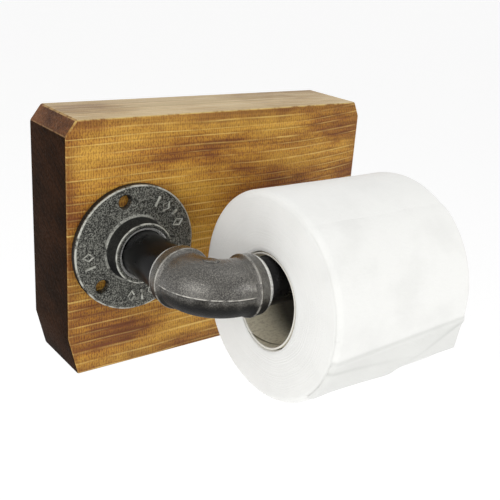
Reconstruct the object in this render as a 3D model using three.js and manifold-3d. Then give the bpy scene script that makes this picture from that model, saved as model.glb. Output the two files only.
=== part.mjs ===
// Toilet paper holder: an arm of iron pipe on a clipped pine block, with a roll of paper hung on it.
//
// Millimetres, +Z up. The origin is the centre of the block's back face, and the wall is the plane
// y = 0. The holder stands out from the wall toward -Y, and its arm runs along +X.

import * as THREE from 'three';
import { mergeVertices } from 'three/addons/utils/BufferGeometryUtils.js';
import Module from 'manifold-3d';

const wasm = await Module();
wasm.setup();

// ---- Driving dimensions ----------------------------------------------------------------------

const GAP = 0.3; // left between pieces that touch

const BLOCK = { width: 210, height: 150, depth: 47, arris: 1.2 };
// How much each corner is clipped, across and up, with the corners named as seen from the room.
const CLIPS = { topLeft: [6.6, 9], bottomLeft: [5.2, 20], bottomRight: [6, 9], topRight: [4.5, 9.5] };

const PIPE = { outer: 13.45, inner: 10.8, chamfer: 0.8 }; // radii of 3/4 inch pipe
const SOCKET = PIPE.outer + GAP; // radius of the fittings' bores

const FLANGE = {
  x: -65, // where the arm leaves the block
  radius: 37.5,
  plate: 5,
  height: 15, // from the block's face to the hub's end
  hubRadius: 18,
  hubRoot: 18.6,
  rootFillet: 2.2,
};
const HOLE = { radius: 3.9, rim: 1.1, circle: 29, angles: [104, 224, 344] };
const SCREW = { head: 4.4, headDepth: 2.7, shank: 2, length: 32, pilot: 2.3, standsOut: 0.3 };

const ELBOW = {
  face: 31, // from the meeting of the two axes to either mouth
  bend: 20, // radius of the bend's centre line
  radius: 15.4,
  band: { radius: 16.7, width: 9.5, bead: 0.5, beadWidth: 2 },
  waterway: 10.5,
  socketDepth: 12,
  ridge: { height: 0.5, thickness: 0.8 },
};

const NIPPLE = { inFlange: 1.2, inElbow: 10 }; // clear of the block; depth in the elbow's mouth
const AXIS_Y = -125; // the arm's distance from the wall
const CAP = { mouth: 95, length: 20, radius: 15.9, band: 8, wall: 4, round: 3.5 };
const ARM = { inElbow: 10, inCap: 12 };

const CORE = { inner: 24, wall: 1 };
const ROLL = { left: -27, width: 100, radius: 59, round: 2 };
const ROLL_Z = PIPE.outer + GAP + 0.05 - CORE.inner; // the core hangs on top of the arm

const TAIL = { thickness: 0.8, clear: 0.5, above: 28, bottom: -41, slant: 4 };

// Where the pipe stands, worked out from the sizes above.
const FLANGE_BACK = -BLOCK.depth - GAP;
const HUB_END = -BLOCK.depth - FLANGE.height;
const ELBOW_BACK = AXIS_Y + ELBOW.face;
const ARM_START = FLANGE.x + ELBOW.face - ARM.inElbow;

// ---- Finishes --------------------------------------------------------------------------------

const finish = (color, roughness, metalness) => new THREE.MeshStandardMaterial({ color, roughness, metalness });
const PINE = finish(0xa87432, 0.65, 0);
const CAST_IRON = finish(0x4b4c4e, 0.5, 0.8);
const BLACK_PIPE = finish(0x17181a, 0.3, 0.6);
const STEEL = finish(0x9a9a98, 0.35, 1);
const CARDBOARD = finish(0xa39783, 0.9, 0);
const TISSUE = finish(0xf1f2ef, 0.95, 0);

// ---- Solids and booleans ---------------------------------------------------------------------

// A geometry as a solid: its vertices merged, and the faces that collapsed at a pole left out.
function solid(geometry) {
  const bare = geometry.index ? geometry.toNonIndexed() : geometry.clone();
  bare.deleteAttribute('normal');
  bare.deleteAttribute('uv');
  const merged = mergeVertices(bare, 1e-3);
  const corners = merged.index.array;
  const kept = [];
  for (let i = 0; i < corners.length; i += 3) {
    const [a, b, c] = corners.slice(i, i + 3);
    if (a !== b && b !== c && c !== a) kept.push(a, b, c);
  }
  return new wasm.Manifold(new wasm.Mesh({
    numProp: 3,
    vertProperties: merged.attributes.position.array,
    triVerts: new Uint32Array(kept),
  }));
}

// A solid as a named mesh, with flat-shaded faces.
function part(name, body, material) {
  const mesh = body.getMesh();
  const indexed = new THREE.BufferGeometry();
  indexed.setAttribute('position', new THREE.BufferAttribute(mesh.vertProperties, 3));
  indexed.setIndex(new THREE.BufferAttribute(mesh.triVerts, 1));
  const geometry = indexed.toNonIndexed();
  geometry.computeVertexNormals();
  const made = new THREE.Mesh(geometry, material);
  made.name = name;
  return made;
}

// A turned solid about Y from [radius, height] pairs: up the outside, over the top, and either down
// the inside and back to the first point, or in to the axis at both ends.
function turned(profile, sides) {
  const points = profile.map(([radius, height]) => new THREE.Vector2(radius, height));
  return solid(new THREE.LatheGeometry(points, sides));
}

// A tube about Y with its outer and inner edges chamfered.
function tube(outer, inner, length, chamfer, sides) {
  return turned([
    [outer - chamfer, 0], [outer, chamfer], [outer, length - chamfer], [outer - chamfer, length],
    [inner, length], [inner, 0], [outer - chamfer, 0],
  ], sides);
}

// Points of an arc in the plane of a profile, from one angle to another, in degrees.
function arc(x, y, radius, from, to, steps) {
  return Array.from({ length: steps + 1 }, (_, i) => {
    const angle = THREE.MathUtils.degToRad(from + ((to - from) * i) / steps);
    return [x + radius * Math.cos(angle), y + radius * Math.sin(angle)];
  });
}

// An outline given as [x, y] pairs, raised by a height along Z.
function raised(outline, height, bevel = {}) {
  const shape = new THREE.Shape(outline.map(([x, y]) => new THREE.Vector2(x, y)));
  return new THREE.ExtrudeGeometry(shape, { depth: height, bevelEnabled: false, ...bevel });
}

// ---- The block -------------------------------------------------------------------------------

// A rectangle about the origin with its four corners clipped.
function clippedRectangle(width, height, clips) {
  const [x, y] = [width / 2, height / 2];
  const { topLeft, bottomLeft, bottomRight, topRight } = clips;
  return [
    [x - bottomRight[0], -y], [x, -y + bottomRight[1]], [x, y - topRight[1]], [x - topRight[0], y],
    [-x + topLeft[0], y], [-x, y - topLeft[1]], [-x, -y + bottomLeft[1]], [-x + bottomLeft[0], -y],
  ];
}

// Where a screw hole stands on the block's face, by its angle from +X toward +Z.
function holePlace(degrees) {
  const angle = THREE.MathUtils.degToRad(degrees);
  return [FLANGE.x + HOLE.circle * Math.cos(angle), HOLE.circle * Math.sin(angle)];
}

function backboard() {
  const { width, height, depth, arris } = BLOCK;
  const outline = clippedRectangle(width - 2 * arris, height - 2 * arris, CLIPS);
  const eased = { bevelEnabled: true, bevelThickness: arris, bevelSize: arris, bevelSegments: 2 };
  const block = raised(outline, depth - 2 * arris, eased);
  block.rotateX(Math.PI / 2);
  block.translate(0, -arris, 0);

  const [x, z] = holePlace(HOLE.angles[2]);
  const pilot = new THREE.CylinderGeometry(SCREW.pilot, SCREW.pilot, SCREW.length, 16);
  pilot.translate(x, -depth + SCREW.length / 2 - 3, z);
  return part('backboard', solid(block).subtract(solid(pilot)), PINE);
}

// ---- The floor flange ------------------------------------------------------------------------

// The flange's section: plate, filleted foot, slightly tapered hub with a rounded lip, and its bore.
function flangeSection() {
  const { radius, plate, height, hubRadius, hubRoot, rootFillet } = FLANGE;
  return [
    [radius, GAP],
    ...arc(radius - 1, plate - 1, 1, 0, 90, 3),
    ...arc(hubRoot + rootFillet, plate + rootFillet, rootFillet, 270, 187, 5),
    ...arc(hubRadius - 1, height - 1, 1, 0, 90, 3),
    [SOCKET + 1, height],
    [SOCKET, height - 1],
    [SOCKET, GAP],
    [radius, GAP],
  ];
}

// A screw hole's cutter: a bore whose mouth opens out in a quarter round.
function holeCutter() {
  const { radius, rim } = HOLE;
  const mouth = arc(radius + rim, FLANGE.plate - rim, rim, 180, 90, 4);
  return turned([[0, -1], [radius, -1], ...mouth, [radius + rim, FLANGE.plate + 1], [0, FLANGE.plate + 1]], 20);
}

// Plain casting marks between the screw holes: lozenges and dashes on the plate.
function castingMarks() {
  const lozenge = [[3.2, 0], [0, 2], [-3.2, 0], [0, -2]];
  const dash = [[3, -0.6], [3, 0.6], [-3, 0.6], [-3, -0.6]];
  const sectors = [[44, 4], [188, 2], [284, 4]]; // the middle angle of each sector, and its marks
  const marks = [];
  for (const [middle, count] of sectors) {
    for (let i = 0; i < count; i += 1) {
      const mark = raised(i % 2 ? dash : lozenge, 1);
      mark.translate(29.5, 0, 0);
      mark.rotateZ(THREE.MathUtils.degToRad(middle + (i - (count - 1) / 2) * 13));
      mark.translate(0, 0, FLANGE.plate - 0.5);
      marks.push(solid(mark.rotateX(-Math.PI / 2)));
    }
  }
  return marks;
}

function floorFlange() {
  let body = turned(flangeSection(), 64);
  for (const mark of castingMarks()) body = body.add(mark);
  const cutter = holeCutter();
  for (const degrees of HOLE.angles) {
    const angle = THREE.MathUtils.degToRad(degrees);
    body = body.subtract(cutter.translate([HOLE.circle * Math.cos(angle), 0, -HOLE.circle * Math.sin(angle)]));
  }
  const flange = part('floor_flange', body, CAST_IRON);
  flange.rotation.x = Math.PI; // its height runs out from the block
  flange.position.set(FLANGE.x, -BLOCK.depth, 0);
  return flange;
}

// A countersunk wood screw in the hole beside the arm: a cross recess, a plain shank and a point.
function flangeScrew() {
  const { head, headDepth, shank, length } = SCREW;
  const body = turned([
    [0, -length], [0.3, -length], [shank, -length + 6], [shank, -headDepth],
    [head, -0.3], [head, 0], [0, 0],
  ], 24);
  const slot = new THREE.BoxGeometry(4.4, 2.4, 0.9);
  const recess = solid(slot).add(solid(slot.clone().rotateY(Math.PI / 2)));
  const screw = part('flange_screw', body.subtract(recess), STEEL);
  const [x, z] = holePlace(HOLE.angles[2]);
  screw.rotation.x = Math.PI;
  screw.position.set(x, -BLOCK.depth - FLANGE.plate - SCREW.standsOut, z);
  return screw;
}

// ---- The pipe and its fittings ---------------------------------------------------------------

function flangeNipple() {
  const start = -BLOCK.depth - NIPPLE.inFlange;
  const end = ELBOW_BACK - NIPPLE.inElbow;
  const nipple = part('flange_nipple', tube(PIPE.outer, PIPE.inner, start - end, PIPE.chamfer, 48), BLACK_PIPE);
  nipple.rotation.x = Math.PI;
  nipple.position.set(FLANGE.x, start, 0);
  return nipple;
}

// The elbow's centre line in its own frame: from the mouth toward +Y, round to the one toward +X.
class ElbowLine extends THREE.Curve {
  constructor(reach) {
    super();
    this.straight = reach - ELBOW.bend;
    this.turn = (ELBOW.bend * Math.PI) / 2;
  }

  getPoint(t, target = new THREE.Vector3()) {
    const travelled = t * (2 * this.straight + this.turn);
    if (travelled < this.straight) return target.set(0, ELBOW.bend + this.straight - travelled, 0);
    const past = travelled - this.straight - this.turn;
    if (past > 0) return target.set(ELBOW.bend + past, 0, 0);
    const angle = Math.PI + (travelled - this.straight) / ELBOW.bend;
    return target.set(ELBOW.bend * (1 + Math.cos(angle)), ELBOW.bend * (1 + Math.sin(angle)), 0);
  }
}

// A round bar that follows the elbow's centre line, reaching a given distance along both axes.
function bentBar(radius, reach, sides) {
  const circle = new THREE.Shape().absarc(0, 0, radius, 0, 2 * Math.PI, false);
  const along = { steps: 20, extrudePath: new ElbowLine(reach), curveSegments: sides / 2, bevelEnabled: false };
  return solid(new THREE.ExtrudeGeometry(circle, along));
}

// The two mouths' copies of one turned body, whose Y axis points out of the mouth.
function atBothMouths(body) {
  return [body, body.rotate([0, 0, -90])];
}

// The ridge left by the mould's two halves: a thin plate round the elbow's middle plane.
function partingRidge() {
  const { bend, radius, ridge, face, band } = ELBOW;
  const out = radius + ridge.height;
  const end = face - band.width;
  const plate = new THREE.Shape();
  plate.moveTo(-out, end);
  plate.lineTo(-out, bend);
  plate.absarc(bend, bend, bend + out, Math.PI, 1.5 * Math.PI, false);
  plate.lineTo(end, -out);
  plate.lineTo(end, out);
  plate.lineTo(bend, out);
  plate.absarc(bend, bend, bend - out, 1.5 * Math.PI, Math.PI, true);
  plate.lineTo(out, end);
  const settings = { depth: ridge.thickness, curveSegments: 10, bevelEnabled: false };
  return solid(new THREE.ExtrudeGeometry(plate, settings).translate(0, 0, -ridge.thickness / 2));
}

// A small oval boss on top of the bend.
function ovalBoss() {
  const oval = new THREE.Shape().absellipse(0, 0, 4.6, 2.8, 0, 2 * Math.PI, false, 0);
  const boss = new THREE.ExtrudeGeometry(oval, { depth: 3, curveSegments: 10, bevelEnabled: false });
  const middle = ELBOW.bend * (1 - Math.SQRT1_2);
  boss.rotateZ(-Math.PI / 4);
  return solid(boss.translate(middle, middle, ELBOW.radius - 2.6));
}

function elbow() {
  const { face, bend, radius, band, waterway, socketDepth } = ELBOW;
  const root = face - band.width;
  const ring = turned([
    [0, bend - 1], [radius, bend - 1], [radius, root], [band.radius + band.bead, root + 0.8],
    [band.radius + band.bead, root + band.beadWidth], [band.radius, root + band.beadWidth + 0.6],
    [band.radius, face - 0.8], [band.radius - 0.8, face], [0, face],
  ], 48);
  const socket = turned([
    [0, face - socketDepth], [SOCKET, face - socketDepth], [SOCKET, face - 1],
    [SOCKET + 1, face], [SOCKET + 1, face + 1], [0, face + 1],
  ], 48);

  let body = bentBar(radius, bend + 2, 48).add(partingRidge()).add(ovalBoss());
  for (const mouth of atBothMouths(ring)) body = body.add(mouth);
  body = body.subtract(bentBar(waterway, face - 1, 24));
  for (const bore of atBothMouths(socket)) body = body.subtract(bore);

  const made = part('elbow', body, CAST_IRON);
  made.position.set(FLANGE.x, AXIS_Y, 0);
  return made;
}

function armPipe() {
  const length = CAP.mouth + ARM.inCap - ARM_START;
  const arm = part('arm_pipe', tube(PIPE.outer, PIPE.inner, length, PIPE.chamfer, 48), BLACK_PIPE);
  arm.rotation.z = -Math.PI / 2; // its length runs along +X
  arm.position.set(ARM_START, AXIS_Y, 0);
  return arm;
}

function endCap() {
  const { length, radius, band, wall, round } = CAP;
  const body = turned([
    [SOCKET, 0.8], [SOCKET + 0.8, 0], [radius - 0.6, 0], [radius, 0.6], [radius, band - 0.6],
    [radius - 0.5, band], ...arc(radius - 0.5 - round, length - round, round, 0, 90, 5),
    [0, length], [0, length - wall], [SOCKET, length - wall], [SOCKET, 0.8],
  ], 48);
  const cap = part('end_cap', body, CAST_IRON);
  cap.rotation.z = -Math.PI / 2;
  cap.position.set(CAP.mouth, AXIS_Y, 0);
  return cap;
}

// ---- The roll --------------------------------------------------------------------------------

function cardboardCore() {
  const body = tube(CORE.inner + CORE.wall, CORE.inner, ROLL.width, 0.2, 48);
  const core = part('cardboard_core', body, CARDBOARD);
  core.rotation.z = -Math.PI / 2;
  core.position.set(ROLL.left, AXIS_Y, ROLL_Z);
  return core;
}

function paperRoll() {
  const inner = CORE.inner + CORE.wall + GAP;
  const { radius, width, round } = ROLL;
  const body = turned([
    ...arc(radius - round, round, round, -90, 0, 3),
    ...arc(radius - round, width - round, round, 0, 90, 3),
    [inner, width], [inner, 0], [radius - round, 0],
  ], 96);
  const roll = part('paper_roll', body, TISSUE);
  roll.rotation.z = -Math.PI / 2;
  roll.position.set(ROLL.left, AXIS_Y, ROLL_Z);
  return roll;
}

// The loose end of the paper: it leaves the roll over its front and hangs, with a slanted edge.
function paperTail() {
  const inner = ROLL.radius + TAIL.clear;
  const outer = inner + TAIL.thickness;
  const section = [
    ...arc(0, 0, inner, TAIL.above, 0, 5),
    [inner, TAIL.bottom - ROLL_Z - TAIL.slant / 2],
    [outer, TAIL.bottom - ROLL_Z - TAIL.slant / 2],
    ...arc(0, 0, outer, 0, TAIL.above, 5),
  ];
  const sheet = raised(section, ROLL.width); // in the plane of outward x and upward y
  const below = new THREE.BoxGeometry(40, 20, 2 * ROLL.width);
  below.rotateX(-Math.atan(TAIL.slant / ROLL.width));
  below.translate(inner, TAIL.bottom - ROLL_Z - 10, ROLL.width / 2);
  const tail = part('paper_tail', solid(sheet).subtract(solid(below)), TISSUE);
  tail.rotation.set(Math.PI / 2, 0, -Math.PI / 2, 'ZXY');
  tail.position.set(ROLL.left + ROLL.width, AXIS_Y, ROLL_Z);
  return tail;
}

// ---- The assembly ----------------------------------------------------------------------------

const holder = new THREE.Group();
holder.add(
  backboard(), floorFlange(), flangeScrew(), flangeNipple(), elbow(), armPipe(), endCap(),
);

const roll = new THREE.Group();
roll.add(cardboardCore(), paperRoll(), paperTail());

const toiletPaperHolder = new THREE.Group();
toiletPaperHolder.add(holder, roll);

export default toiletPaperHolder;
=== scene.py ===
"""Toilet paper holder: an arm of black iron pipe on a clipped pine block, with a roll of paper.

Everything is in metres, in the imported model's frame: the wall is the plane y = 0, the holder stands
out toward -Y, its arm runs along +X and +Z is up.
"""

import logging
import math
from dataclasses import dataclass, field
from enum import Enum
from typing import Any, Callable, Sequence

import bpy
from mathutils import Matrix, Vector


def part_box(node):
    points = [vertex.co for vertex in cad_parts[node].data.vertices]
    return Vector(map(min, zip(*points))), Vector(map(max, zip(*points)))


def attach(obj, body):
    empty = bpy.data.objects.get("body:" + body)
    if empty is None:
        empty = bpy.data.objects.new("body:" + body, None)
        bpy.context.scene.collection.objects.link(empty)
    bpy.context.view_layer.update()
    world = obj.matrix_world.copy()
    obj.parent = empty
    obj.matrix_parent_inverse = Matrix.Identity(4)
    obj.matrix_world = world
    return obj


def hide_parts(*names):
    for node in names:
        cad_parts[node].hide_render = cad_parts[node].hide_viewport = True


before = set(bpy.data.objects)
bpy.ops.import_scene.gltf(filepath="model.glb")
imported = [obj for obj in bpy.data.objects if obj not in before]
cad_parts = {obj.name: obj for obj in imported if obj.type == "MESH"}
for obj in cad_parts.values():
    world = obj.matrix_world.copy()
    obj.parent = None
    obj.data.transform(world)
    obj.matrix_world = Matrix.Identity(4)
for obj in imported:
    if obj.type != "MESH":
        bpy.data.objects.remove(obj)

LOG = logging.getLogger("toilet_paper_holder")
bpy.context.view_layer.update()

Point = tuple[float, float]
Test = Callable[[Vector, Vector], bool]


class Axis(Enum):
    """The ways that a turned piece's own Z can point, as a turn about X, Y and Z."""

    OUT = (math.pi / 2, 0.0, 0.0)
    ALONG = (0.0, math.pi / 2, 0.0)
    UP = (0.0, 0.0, 0.0)


# ---- Shader nodes ------------------------------------------------------------------------------


def srgb(code: str, alpha: float = 1.0) -> tuple[float, float, float, float]:
    """A colour as a shader socket takes it.

    Args:
        code: Six hexadecimal digits, as a paint chart gives them.
        alpha: Opacity.

    Returns:
        Linear red, green and blue, and the opacity.
    """
    channels = [int(code[i : i + 2], 16) / 255 for i in (0, 2, 4)]
    linear = [c / 12.92 if c <= 0.04045 else ((c + 0.055) / 1.055) ** 2.4 for c in channels]
    return (*linear, alpha)


class Tree:
    """Adds shader nodes to one node tree and wires them."""

    def __init__(self, tree: bpy.types.NodeTree) -> None:
        """Args:
        tree: The node tree to fill.
        """
        self.tree = tree

    def add(self, kind: str, inputs: dict[Any, Any] | None = None, **settings: Any) -> bpy.types.Node:
        """Adds one node.

        Args:
            kind: The node's type, without its ShaderNode prefix.
            inputs: Socket names or places, each with a value or with the socket that feeds it.
            **settings: Properties of the node itself.

        Returns:
            The new node.
        """
        node = self.tree.nodes.new("NodeGroup" + kind if kind in ("Input", "Output") else "ShaderNode" + kind)
        for name, value in settings.items():
            setattr(node, name, value)
        for name, value in (inputs or {}).items():
            self.feed(node.inputs[name], value)
        return node

    def feed(self, socket: bpy.types.NodeSocket, value: Any) -> None:
        """Sets a socket, or wires another socket into it."""
        if isinstance(value, bpy.types.NodeSocket):
            self.tree.links.new(value, socket)
        else:
            socket.default_value = value

    def math(self, operation: str, *values: Any, clamp: bool = False) -> bpy.types.NodeSocket:
        """Adds a math node.

        Args:
            operation: Its operation.
            *values: One number or socket for each of its inputs.
            clamp: Whether the result stays between 0 and 1.

        Returns:
            The result's socket.
        """
        node = self.add("Math", dict(enumerate(values)), operation=operation, use_clamp=clamp)
        return node.outputs[0]

    def span(
        self, value: Any, low: float, high: float, to_low: float = 0.0, to_high: float = 1.0
    ) -> bpy.types.NodeSocket:
        """A smooth step of a value from one range to another, held at its ends."""
        inputs = {0: value, 1: low, 2: high, 3: to_low, 4: to_high}
        return self.add("MapRange", inputs, interpolation_type="SMOOTHSTEP").outputs[0]

    def noise(
        self, place: Any, scale: float, detail: float = 2.0, roughness: float = 0.5
    ) -> bpy.types.NodeSocket:
        """Noise at a place, with so many waves to the metre."""
        inputs = {"Vector": place, "Scale": scale, "Detail": detail, "Roughness": roughness}
        return self.add("TexNoise", inputs).outputs[0]

    def stretched(self, place: Any, scale: Sequence[float]) -> bpy.types.NodeSocket:
        """A place with each of its axes multiplied by its own scale."""
        return self.add("VectorMath", {0: place, 1: scale}, operation="MULTIPLY").outputs[0]

    def mix(self, share: Any, first: Any, second: Any, blend: str = "MIX") -> bpy.types.NodeSocket:
        """A mix of two colours, by the share of the second."""
        node = self.add("Mix", data_type="RGBA", blend_type=blend, clamp_factor=True)
        for place, value in ((0, share), (6, first), (7, second)):
            self.feed(node.inputs[place], value)
        return node.outputs[2]


def node_group(
    name: str, takes: dict[str, tuple[str, Any]], gives: dict[str, str]
) -> tuple[bpy.types.NodeTree, Tree]:
    """Starts a shader node group.

    Args:
        name: The group's name.
        takes: Each input's name, with its socket kind and its usual value.
        gives: Each output's name, with its socket kind.

    Returns:
        The group, and a Tree that fills it.
    """
    group = bpy.data.node_groups.new(name, "ShaderNodeTree")
    for label, (kind, usual) in takes.items():
        socket = group.interface.new_socket(label, in_out="INPUT", socket_type="NodeSocket" + kind)
        socket.default_value = usual
    for label, kind in gives.items():
        group.interface.new_socket(label, in_out="OUTPUT", socket_type="NodeSocket" + kind)
    return group, Tree(group)


def growth_rings() -> bpy.types.NodeTree:
    """The group for softwood: growth rings round a pith line, fibre along X and short pores.

    Returns:
        A group that puts out the late wood's lines, the shade across a ring, fibre, pores and patches.
    """
    takes = {"Ring": ("Float", 0.0038), "Pith Y": ("Float", 0.10), "Pith Z": ("Float", -0.19)}
    gives = {name: "Float" for name in ("Line", "Shade", "Fibre", "Pores", "Patches")}
    group, t = node_group("growth_rings", takes, gives)
    given = t.add("Input").outputs
    place = t.add("TexCoord").outputs["Object"]
    axes = t.add("SeparateXYZ", {0: place}).outputs
    sway = t.math("SUBTRACT", t.noise(t.stretched(place, (0.6, 1.0, 1.0)), 14.0), 0.5)
    past = t.math("MAXIMUM", t.math("SUBTRACT", axes[0], 0.03), 0.0)
    lift = t.math("MULTIPLY", t.math("MULTIPLY", past, past), 0.9)
    up = t.math("SUBTRACT", t.math("SUBTRACT", axes[2], lift), given["Pith Z"])
    across = t.math("SUBTRACT", axes[1], given["Pith Y"])
    squared = t.math("ADD", t.math("MULTIPLY", up, up), t.math("MULTIPLY", across, across))
    radius = t.math("ADD", t.math("SQRT", squared), t.math("MULTIPLY", sway, 0.004))
    years = t.math("DIVIDE", radius, given["Ring"])
    along = t.add("CombineXYZ", {0: t.math("MULTIPLY", years, 0.37)}).outputs[0]
    uneven = t.math("MULTIPLY", t.noise(along, 1.0, 1.0), 1.0)
    phase = t.math("FRACT", t.math("ADD", years, uneven))
    rise = t.span(phase, 0.74, 0.90)
    fall = t.span(phase, 0.93, 1.0, 1.0, 0.0)
    ragged = t.span(t.noise(t.stretched(place, (30.0, 150.0, 150.0)), 1.0, 3.0), 0.36, 0.66)
    line = t.math("MULTIPLY", t.math("MULTIPLY", rise, fall), ragged)
    shade = t.math("ADD", t.span(phase, 0.0, 0.35, 1.0, 0.0), t.span(phase, 0.55, 0.84, 0.0, 0.6))
    fibre = t.noise(t.stretched(place, (9.0, 620.0, 620.0)), 1.0, 4.0, 0.6)
    chatter = {"Vector": place, "Scale": 200.0, "Distortion": 4.0, "Detail": 2.0, "Detail Scale": 2.2}
    waves = t.add("TexWave", chatter, wave_type="BANDS", bands_direction="X").outputs["Fac"]
    flecks = t.noise(t.stretched(place, (1300.0, 700.0, 560.0)), 1.0, 2.0, 0.6)
    pores = t.math("ADD", t.math("MULTIPLY", waves, 0.17), t.math("MULTIPLY", flecks, 0.87))
    # The patches run darker toward the block's ends and lighter toward its top.
    sides = t.math("ADD", t.span(axes[0], 0.01, 0.10, 0.0, 0.07), t.span(axes[0], -0.10, -0.03, 0.05, 0.0))
    slope = t.math("SUBTRACT", sides, t.span(axes[2], 0.01, 0.06, 0.0, 0.05))
    patches = t.math("ADD", t.noise(t.stretched(place, (0.45, 1.0, 1.4)), 27.0, 4.0, 0.62), slope)
    results = {"Line": line, "Shade": shade, "Fibre": fibre, "Pores": pores, "Patches": patches}
    t.add("Output", results)
    return group


def sand_casting() -> bpy.types.NodeTree:
    """The group for iron cast in sand: a grain of two sizes, and the glints on its crests.

    Returns:
        A group that puts out the height of the grain, its glints and slow stains.
    """
    takes = {"Grains per Metre": ("Float", 1300.0)}
    group, t = node_group("sand_casting", takes, {"Height": "Float", "Glints": "Float", "Stains": "Float"})
    scale = t.add("Input").outputs["Grains per Metre"]
    place = t.add("TexCoord").outputs["Object"]
    fine = t.add("TexNoise", {"Vector": place, "Scale": scale, "Detail": 2.0, "Roughness": 0.6}).outputs[0]
    coarse_scale = t.math("MULTIPLY", scale, 0.33)
    coarse = t.add("TexNoise", {"Vector": place, "Scale": coarse_scale, "Detail": 2.0}).outputs[0]
    height = t.math("ADD", t.math("MULTIPLY", fine, 0.65), t.math("MULTIPLY", coarse, 0.35))
    t.add(
        "Output",
        {"Height": height, "Glints": t.span(fine, 0.40, 0.68), "Stains": t.noise(place, 55.0, 3.0)},
    )
    return group


def edge_wear_and_highlight() -> bpy.types.NodeTree:
    """The group for edges that hands and tools have rubbed, and for painted highlights: the piece's own
    marks, broken up.

    Returns:
        A group that puts out how much rubbing and painted highlight the surface shows, from 0 to 1.
    """
    takes = {"Breaks per Metre": ("Float", 260.0), "Amount": ("Float", 1.0)}
    group, t = node_group("edge_wear_and_highlight", takes, {"Wear and Highlight": "Float"})
    given = t.add("Input").outputs
    place = t.add("TexCoord").outputs["Object"]
    marks = t.add("Attribute", attribute_name="worn_and_highlight").outputs["Fac"]
    patchy = t.add(
        "TexNoise", {"Vector": place, "Scale": given["Breaks per Metre"], "Detail": 3.0}
    ).outputs[0]
    kept = t.math("MULTIPLY", t.span(marks, 0.35, 0.9), t.span(patchy, 0.32, 0.56))
    t.add("Output", {"Wear and Highlight": t.math("MULTIPLY", kept, given["Amount"], clamp=True)})
    return group


def underside_shade() -> bpy.types.NodeTree:
    """The group for painted shade: it tells surfaces that look up from those that look down, which are
    painted dark.

    Returns:
        A group that puts out how far a surface faces up, ragged with noise, from 0 underneath to 1 on top.
    """
    takes = {"From": ("Float", -0.45), "To": ("Float", 0.10)}
    group, t = node_group("underside_shade", takes, {"Facing Up": "Float"})
    given = t.add("Input").outputs
    place = t.add("TexCoord").outputs["Object"]
    facing = t.add("SeparateXYZ", {0: t.add("NewGeometry").outputs["Normal"]}).outputs[2]
    # Painted shade: this mask lets the undersides be painted dark.
    ragged = t.math(
        "ADD", facing, t.math("MULTIPLY", t.math("SUBTRACT", t.noise(place, 180.0, 3.0), 0.5), 0.5)
    )
    inputs = {0: ragged, 1: given["From"], 2: given["To"], 3: 0.0, 4: 1.0}
    facing_up = t.add("MapRange", inputs, interpolation_type="SMOOTHSTEP").outputs[0]
    t.add("Output", {"Facing Up": facing_up})
    return group


def tissue_crepe() -> bpy.types.NodeTree:
    """The group for tissue: the fine crepe across the web, and the soft creases of handling.

    Returns:
        A group that puts out the height of the crepe and a slow unevenness.
    """
    takes = {"Web": ("Vector", (300.0, 1500.0, 1500.0))}
    group, t = node_group("tissue_crepe", takes, {"Height": "Float", "Slow": "Float"})
    web = t.add("Input").outputs["Web"]
    place = t.add("TexCoord").outputs["Object"]
    crepe = t.noise(t.add("VectorMath", {0: place, 1: web}, operation="MULTIPLY").outputs[0], 1.0, 3.0)
    t.add("Output", {"Height": crepe, "Slow": t.noise(place, 42.0, 3.0)})
    return group


@dataclass(frozen=True)
class SharedEffects:
    """The node groups that more than one finish uses."""

    rings: bpy.types.NodeTree
    casting: bpy.types.NodeTree
    # rubbed edges, and painted highlights where a piece marks them
    edges: bpy.types.NodeTree
    crepe: bpy.types.NodeTree
    # painted shade on the surfaces that face down
    dust_and_underside_shade: bpy.types.NodeTree

    @classmethod
    def build(cls) -> "SharedEffects":
        """Builds every group once."""
        return cls(growth_rings(), sand_casting(), edge_wear_and_highlight(), tissue_crepe(), underside_shade())


# ---- Finishes ----------------------------------------------------------------------------------


class Finish:
    """A finish that a piece is dressed in: one Principled shader and the nodes that feed it."""

    name: str

    def make(self, shared: SharedEffects) -> bpy.types.Material:
        """Builds the material.

        Args:
            shared: The shared node groups.

        Returns:
            The material.
        """
        material = bpy.data.materials.new(self.name)
        material.use_nodes = True
        material.node_tree.nodes.clear()
        tree = Tree(material.node_tree)
        shader = tree.add("BsdfPrincipled")
        tree.add("OutputMaterial", {"Surface": shader.outputs[0]})
        self.wire(tree, shader, shared)
        return material

    def wire(self, t: Tree, shader: bpy.types.Node, shared: SharedEffects) -> None:
        """Feeds the shader. Each finish has its own."""
        raise NotImplementedError


def bump(t: Tree, height: Any, distance: float, strength: float = 1.0) -> bpy.types.NodeSocket:
    """A normal that a height bends, by so many metres for a height of 1."""
    return t.add("Bump", {"Height": height, "Distance": distance, "Strength": strength}).outputs[0]


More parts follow.
